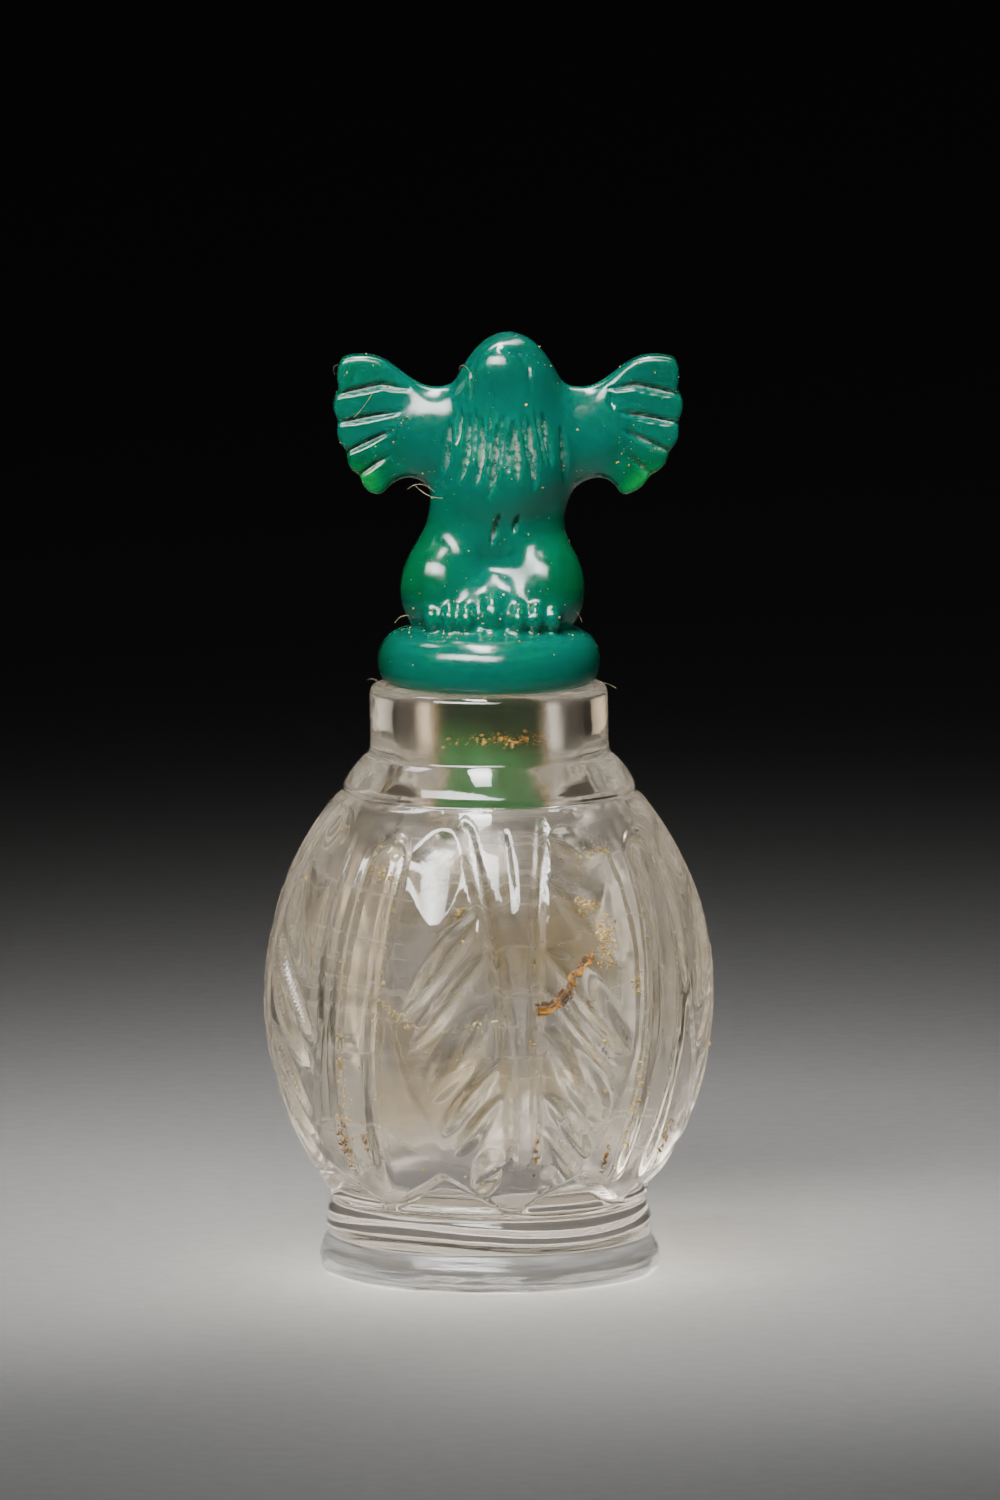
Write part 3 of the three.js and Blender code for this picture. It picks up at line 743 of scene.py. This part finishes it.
# %% Drilled rock crystal, for the chamber: a little frosted, with rings and an amber residue
drilled_crystal, tree, shader, where = new_crystal("drilled_rock_crystal", 0.95)
residue = noise(tree, where, 130.0, 4.0)
stained = ramp(tree, residue, (0.46, linear("#E6E5E6")), (0.64, linear("#E0D2AC")))
tree.links.new(stained, shader.inputs["Base Color"])
stretched = add(tree, "ShaderNodeMapping", inputs={"Vector": where, "Scale": (60.0, 60.0, 1800.0)})
rings = noise(tree, stretched.outputs["Vector"], 1.0, 3.0)
frost = ramp(tree, rings, (0.3, grey(0.08)), (0.7, grey(0.3)))
tree.links.new(frost, shader.inputs["Roughness"])
bump = add(tree, "ShaderNodeBump", inputs={"Strength": 0.25, "Distance": 0.0001, "Height": rings})
tree.links.new(bump.outputs["Normal"], shader.inputs["Normal"])

# %% Dusty bore: the same crystal under a thin golden film
dusty_bore, tree, shader, where = new_crystal("dusty_crystal_bore", 0.97)
film = noise(tree, where, 700.0, 5.0)
film_tint = ramp(tree, film, (0.35, linear("#D9C9A0")), (0.65, linear("#B89E62")))
tree.links.new(film_tint, shader.inputs["Base Color"])
shader.inputs["Roughness"].default_value = 0.22

# %% Ground foot: scratched white by standing and wiping, so it scatters light. Its white streaks are also painted brightness, in place of the light that the foot reflects inside it.
ground_and_painted_bright_foot, tree, shader, where = new_crystal("ground_crystal_foot_painted_bright", 0.74)
stretched = add(tree, "ShaderNodeMapping", inputs={"Vector": where, "Scale": (150.0, 150.0, 2400.0)})
rubs = noise(tree, stretched.outputs["Vector"], 1.0, 4.0)
# Painted highlight: the foot's colour is streaked from pale grey to white.
rubbed_and_painted_bright = ramp(tree, rubs, (0.42, linear("#CFC9BF")), (0.58, linear("#FFFFFF")))
tree.links.new(rubbed_and_painted_bright, shader.inputs["Base Color"])
scratched = ramp(tree, rubs, (0.4, grey(0.02)), (0.6, grey(0.24)))
tree.links.new(scratched, shader.inputs["Roughness"])
bump = add(tree, "ShaderNodeBump", inputs={"Strength": 0.6, "Distance": 0.0002, "Height": rubs})
tree.links.new(bump.outputs["Normal"], shader.inputs["Normal"])

# %% Lay the four crystal finishes on their faces
bottle.visible_shadow = False
for finish in (crystal, drilled_crystal, dusty_bore, ground_and_painted_bright_foot):
    bottle.data.materials.append(finish)
centres = np.empty(len(bottle.data.polygons) * 3)
bottle.data.polygons.foreach_get("center", centres)
centres = centres.reshape(-1, 3) / MM
reach = np.hypot(centres[:, 0], centres[:, 1])
level, bore_bottom = centres[:, 2], body_top - 1.5
in_chamber = (reach < CHAMBER_RADIUS + 0.3) & (level > FLOOR_THICKNESS - 0.3)
in_chamber &= level < bore_bottom
in_bore = (reach < BORE_RADIUS + 0.15) & (level >= bore_bottom) & (level < rim_height - 0.2)
numbers = in_chamber + 2 * in_bore + 3 * (level < FOOT_HEIGHT)
bottle.data.polygons.foreach_set("material_index", numbers.astype(np.int32))
print("faces in the chamber and the bore:", int(in_chamber.sum()), int(in_bore.sum()))

# %% Waxy green chalcedony, for the stopper
chalcedony, tree, shader, where = new_material("waxy_green_chalcedony")
cloud = noise(tree, where, 110.0, 4.0)
deep_green = ramp(
    tree, cloud, (0.3, linear("#006C5B")), (0.5, linear("#007A67")), (0.72, linear("#007C63"))
)
# Painted light and shade: the green turns brighter where the wings are thin, deeper on the hips and
# wing ends, and darker on the plug inside the bottle.
painted_light_and_shade = add(tree, "ShaderNodeAttribute", {"attribute_name": "painted_light_and_shade"}).outputs["Fac"]
painted_lit_and_shaded_green = ramp(tree, painted_light_and_shade, (0.7, linear("#00662C")), (1.0, linear("#009A4C")))
green = add(tree, "ShaderNodeMixRGB", inputs={"Fac": painted_light_and_shade, "Color1": deep_green, "Color2": painted_lit_and_shaded_green})
# Dust in the grooves, in a pale silvery green that also paints the sheen of the polished strokes.
dust_and_painted_sheen = by_groove(tree, green.outputs["Color"], linear("#A4C6B2"), where, 2200.0)
tree.links.new(dust_and_painted_sheen, shader.inputs["Base Color"])
shader.inputs["Subsurface Weight"].default_value = 0.55
shader.inputs["Subsurface Radius"].default_value = (0.06, 1.0, 0.45)
shader.inputs["Subsurface Scale"].default_value = 0.0015
shader.inputs["IOR"].default_value = 1.54
grain = noise(tree, where, 2600.0, 3.0)
waxy = ramp(tree, grain, (0.3, grey(0.1)), (0.75, grey(0.24)))
dull = by_groove(tree, waxy, grey(0.55), where, 2200.0)
tree.links.new(dull, shader.inputs["Roughness"])
bird.data.materials.append(chalcedony)

# %% [markdown]
# ## Dust, soil and stain
# The bottle was never fully cleaned. Golden dust lies in the cuts and round the bird's feet, brown
# soil sits at the leaf tips, and an iron stain is sealed in the front of the crystal. Each is a
# crowd of tiny lumps: a modifier repeats one lump, and each copy is then moved to its place.


# %% Crowds of lumps, and where they lie
def lumps(name, places, sizes, material, flat=1.0):
    """One lump at each place, all in millimetres. A flat under 1 thins them from front to back."""
    bpy.ops.mesh.primitive_ico_sphere_add(subdivisions=1, radius=1)
    made = new_piece(name)
    lump = read_points(made)
    repeat = made.modifiers.new("repeat", "ARRAY")
    repeat.count, repeat.use_relative_offset = len(places), False
    bpy.ops.object.modifier_apply(modifier="repeat")
    stretch = 0.55 + 0.9 * scatter(np.arange(len(places))[:, None], np.arange(3)[None, :], 1)
    spread = lump[None] * (sizes[:, None] * stretch * (1, flat, 1))[:, None, :]
    write_points(made, (places[:, None, :] + spread).reshape(-1, 3) * MM)
    made.data.materials.append(material)
    print(name, triangles(made), "triangles")
    return made


def patch(turn, height, across, up, count):
    """Turns and heights crowded round a middle, with half sizes in millimetres."""
    number, usual_radius, reach = np.arange(count), 14, 1.6
    fall = [sum(scatter(number, k, j + turn) for k in (1, 2, 3)) / 1.5 - 1 for j in (1, 5)]
    turn = turn + fall[0] * np.degrees(across / usual_radius) * reach
    return turn, height + fall[1] * up * reach


def on_body(patches):
    """Places on the carved surface, crowded in patches."""
    turn, height = (np.concatenate(part) for part in zip(*(patch(*one) for one in patches)))
    radius = body_radius(height) - cut_depth(turn, height)[0] + 0.01
    return around_axis(np.radians(turn), height, radius)


def plain_material(name, low, high, roughness):
    """A dull material that varies from lump to lump between two colours."""
    material, tree, shader, where = new_material(name)
    varied = noise(tree, where, 1400.0, 2.0)
    tint = ramp(tree, varied, (0.38, linear(low)), (0.62, linear(high)))
    tree.links.new(tint, shader.inputs["Base Color"])
    shader.inputs["Roughness"].default_value = roughness
    return material


golden = plain_material("golden_dust", "#A08238", "#E4C878", 0.85)
soil = plain_material("brown_soil", "#6A4C20", "#B08A44", 0.95)
rust = plain_material("iron_stain", "#3E2200", "#B88000", 0.7)
lint = plain_material("pale_lint", "#A39468", "#CDBF92", 0.8)

# %% Golden dust and brown soil on the crystal
GOLDEN_PATCHES = [
    (33, 26.5, 0.7, 2.0, 260),
    (29, 28.8, 1.2, 0.7, 120),
    (42, 22.8, 0.6, 0.9, 110),
    (36, 32.5, 1.6, 0.5, 60),
    (-8, 28.6, 0.3, 0.3, 24),
    (-33, 31.0, 1.6, 0.6, 50),
    (-42, 15.0, 0.5, 4.0, 90),
    (44, 14.0, 0.6, 3.5, 90),
]
SOIL_PATCHES = [
    (-47, 10.6, 0.45, 2.4, 150),
    (-38, 11, 0.2, 1.5, 50),
    (14, 10.4, 0.16, 2.0, 60),
    (37, 10, 0.3, 1.2, 50),
    (63, 10.6, 0.4, 1.6, 60),
]
FILM_GRAINS = 180
number = np.arange(len(bottle_points))
outer = np.flatnonzero(carved & (scatter(number, 3) < 0.004 + 0.018 * (bottle_groove > 0.35)))
bore_turn, bore_height = patch(15, 40, 11, 0.5, FILM_GRAINS)
bore_turn = np.radians(bore_turn)
film_places = around_axis(bore_turn, bore_height, np.full(FILM_GRAINS, BORE_RADIUS - 0.12))
places = np.vstack([on_body(GOLDEN_PATCHES), film_places, bottle_points[outer]])
grain_sizes = 0.035 + 0.13 * scatter(np.arange(len(places)), 7) ** 5
golden_grains = lumps("golden_dust_grains", places, grain_sizes, golden)
places = on_body(SOIL_PATCHES)
grain_sizes = 0.03 + 0.09 * scatter(np.arange(len(places)), 8) ** 2
soil_grains = lumps("brown_soil_grains", places, grain_sizes, soil)

# %% The iron stain, and a faint veil, sealed in the front wall
STAIN = (
    (13.6, 21.9), (15.2, 21.3), (18.5, 21.7), (21.8, 22.5), (24.0, 23.4), (27.0, 24.4), (29.5, 25.2)
)
VEIL = ((-30.4, 21.9), (-26.0, 20.8), (-21.5, 20.2), (-11.1, 20.1), (-2.0, 20.6), (8.8, 20.3))


def inside_wall(line, count, radius, jitter):
    """Places along a line of turns and heights, and how far each is from the line's ends, 0 to 1."""
    number, line = np.arange(count), np.array(line)
    along, stops = np.linspace(0, 1, count), np.linspace(0, 1, len(line))
    luck = scatter(number, 4) - 0.5
    turn = np.interp(along, stops, line[:, 0]) + 4 * jitter * luck
    height = np.interp(along, stops, line[:, 1]) + jitter * (scatter(number, 9) - 0.5)
    places = around_axis(np.radians(turn), height, radius + jitter * luck)
    return places, np.sin(math.pi * along)


STAIN_LUMPS, VEIL_LUMPS = 140, 200
places, taper = inside_wall(STAIN, STAIN_LUMPS, 14.6, 0.5)
stain_sizes = 0.07 + 0.24 * taper**0.6 * scatter(np.arange(STAIN_LUMPS), 6)
stain = lumps("iron_stain_in_crystal", places, stain_sizes, rust, 0.6)
places, _ = inside_wall(VEIL, VEIL_LUMPS, 15.0, 0.6)
veil_sizes = 0.03 + 0.09 * scatter(np.arange(VEIL_LUMPS), 5) ** 3
veil = lumps("veil_in_crystal", places, veil_sizes, lint)

# %% Dust on the bird, thickest in its grooves, in its joints and round its feet
DEEP_STROKE = 0.026
number = np.arange(len(points))
seen = ease(facing, -0.2, 0.3)
feet = ease(-np.abs(z - 0.1), -0.12, 0.0) * ease(-np.abs(x), -0.3, -0.05)
joints = feet + 0.8 * ease(-np.abs(z - 0.005), -0.03, 0.0)
armpits = ease(-np.hypot(np.abs(x) - 0.27, z - 0.47), -0.09, 0.0)
wings = ease(np.abs(x), 0.3, 0.4) * (z > 0.3)
chance = (0.08 * depth / DEEP_STROKE + 0.07 * joints + 0.12 * armpits + 0.035 * wings + 0.008) * seen
picked = np.flatnonzero((scatter(number, 11) < chance) & (z > -0.12))
grain_sizes = 0.022 + 0.075 * scatter(picked, 12) ** 4
bird_grains = lumps("dust_on_bird", points[picked] / MM, grain_sizes, golden)

# %% Lint caught on the edges: fine hairs, each bent once
HAIRS = [
    ((8.0, -2.0, 43.8), (8.6, -2.3, 43.9), (9.3, -2.1, 43.4)),
    ((-8.0, -2.2, 43.8), (-8.6, -2.4, 44.3), (-8.9, -2.0, 44.0)),
    ((-5.4, -1.5, 58.3), (-4.6, -2.1, 57.4), (-3.4, -2.5, 57.5)),
    ((-6.0, -1.4, 58.0), (-5.0, -1.6, 58.9), (-4.0, -2.2, 57.9)),
    ((5.7, -2.6, 49.5), (6.6, -2.5, 49.2), (6.8, -2.3, 48.3)),
    ((-9.9, -1.6, 63.3), (-9.0, -1.9, 64.3), (-8.5, -1.7, 65.2)),
    ((-2.2, -2.2, 66.9), (-2.0, -3.2, 67.7), (-1.5, -3.3, 67.0)),
    ((-11.3, -0.8, 66.4), (-11.6, -1.2, 67.0), (-11.1, -1.4, 67.2)),
    ((-5.9, -3.0, 48.9), (-6.6, -2.8, 48.9), (-6.9, -2.6, 48.3)),
]
HAIR_RADIUS, HAIR_STEPS = 0.014, 10


def hair(number, start, corner, end):
    bpy.ops.mesh.primitive_grid_add(x_subdivisions=5, y_subdivisions=HAIR_STEPS, size=1)
    made = new_piece(f"hair_{number}")
    flat = read_points(made)
    turn = (flat[:, 0] + 0.5) * 2 * math.pi
    step = np.rint((flat[:, 1] + 0.5) * HAIR_STEPS).astype(int)
    path = np.array([start] + bend(start, corner, end, HAIR_STEPS))[step]
    ring = np.column_stack([np.cos(turn), np.sin(turn), np.sin(turn)]) * HAIR_RADIUS
    write_points(made, (path + ring) * MM)
    return made


hairs = [hair(i, *one) for i, one in enumerate(HAIRS)]
merge(hairs[0], hairs)
hairs = new_piece("lint_hairs")
hairs.data.materials.append(lint)

# %% [markdown]
# ## Floor, light and camera
# The floor is plain and pale. The lamps stand close to the bottle, so the floor behind it falls
# off into shade and the clear crystal is seen against it by its bright edges.

# %% Floor
bpy.ops.mesh.primitive_plane_add(size=6)
floor = new_piece("pale_floor")
paper, tree, shader, where = new_material("pale_matt_paper")
fibre = noise(tree, where, 600.0, 4.0)
tint = ramp(tree, fibre, (0.3, linear("#A5A4A1")), (0.7, linear("#ACABA8")))
tree.links.new(tint, shader.inputs["Base Color"])
shader.inputs["Roughness"].default_value = 0.75
floor.data.materials.append(paper)


# %% Soft lamps
def soft_lamp(name, place, target, size, watts, spread, color="#FFFFFF"):
    """A rectangular lamp at a place, turned to its target. Places are in metres."""
    lamp = bpy.data.lights.new(name, "AREA")
    lamp.shape = "RECTANGLE"
    lamp.size, lamp.size_y = size
    lamp.energy = watts
    lamp.spread = math.radians(spread)
    lamp.color = linear(color)[:3]
    obj = bpy.data.objects.new(name, lamp)
    bpy.context.scene.collection.objects.link(obj)
    from_target = [p - t for p, t in zip(place, target)]
    turn_z = math.atan2(from_target[0], -from_target[1])
    tilt = math.atan2(math.hypot(*from_target[:2]), from_target[2])
    obj.location, obj.rotation_euler = place, (tilt, 0, turn_z)
    return obj


# The soft boxes leave dull surfaces alone. Three of them give the gleams, and all five shine
# through the crystal. The two fills light the bird, the dust and the floor, and aren't mirrored.
key = soft_lamp("front_soft_box", (-0.06, -0.13, 0.17), (0, 0, 0.045), (0.22, 0.065), 0.32, 80)
fill = soft_lamp("front_fill", (-0.03, -0.13, 0.2), (0, 0, 0.05), (0.17, 0.05), 0.08, 46)
overhead = soft_lamp(
    "overhead_soft_box", (-0.015, 0.0, 0.22), (-0.01, 0, 0.03), (0.18, 0.035), 0.14, 66
)
back = soft_lamp("back_soft_box", (-0.02, 0.09, 0.24), (0, 0, 0.04), (0.24, 0.05), 0.14, 66)
back_fill = soft_lamp("back_fill", (0.05, 0.14, 0.2), (0, 0, 0.05), (0.1, 0.05), 0.014, 46)
left = soft_lamp(
    "left_soft_box", (-0.14, 0.05, 0.03), (0, 0, 0.042), (0.12, 0.12), 0.006, 50, "#FFF1DE"
)
right = soft_lamp("right_soft_box", (0.14, 0.06, 0.03), (0, 0, 0.042), (0.12, 0.12), 0.005, 50)
for lamp in (key, overhead, back, left, right):
    lamp.visible_diffuse = False
for lamp in (fill, back_fill, left, right):
    lamp.visible_glossy = False

world = bpy.data.worlds.new("soft_room")
bpy.context.scene.world = world
world.use_nodes = True
world.node_tree.nodes["Background"].inputs["Color"].default_value = linear("#E8ECF2")
world.node_tree.nodes["Background"].inputs["Strength"].default_value = 0.006

# %% Camera
# The photograph shows 13.6 pixels to the millimetre, 7.5 degrees from above, with its middle
# 38.55 mm above the floor and 0.8 mm to the right of the bottle's axis.
CAMERA_DISTANCE, ELEVATION = 1.2, math.radians(7.5)
PIXELS_HIGH, PIXELS_PER_MM, SENSOR_HEIGHT = 1500, 13.6, 24.0
frame_height = PIXELS_HIGH / PIXELS_PER_MM * MM
aim = (0.0008, 0.0, 0.03855)
lens = bpy.data.cameras.new("long_lens")
lens.sensor_fit = "VERTICAL"
lens.sensor_height = SENSOR_HEIGHT
lens.lens = SENSOR_HEIGHT * CAMERA_DISTANCE / frame_height
camera = bpy.data.objects.new("camera", lens)
bpy.context.scene.collection.objects.link(camera)
camera.location = (
    aim[0],
    -CAMERA_DISTANCE * math.cos(ELEVATION),
    aim[2] + CAMERA_DISTANCE * math.sin(ELEVATION),
)
camera.rotation_euler = (math.pi / 2 - ELEVATION, 0, 0)
bpy.context.scene.camera = camera

# %% Hand the pieces over
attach(bottle, "root")
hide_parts("crystal_bottle")
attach(bird, "root")
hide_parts("bird_stopper")

for loose in (golden_grains, soil_grains, stain, veil, bird_grains, hairs):
    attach(loose, "root")
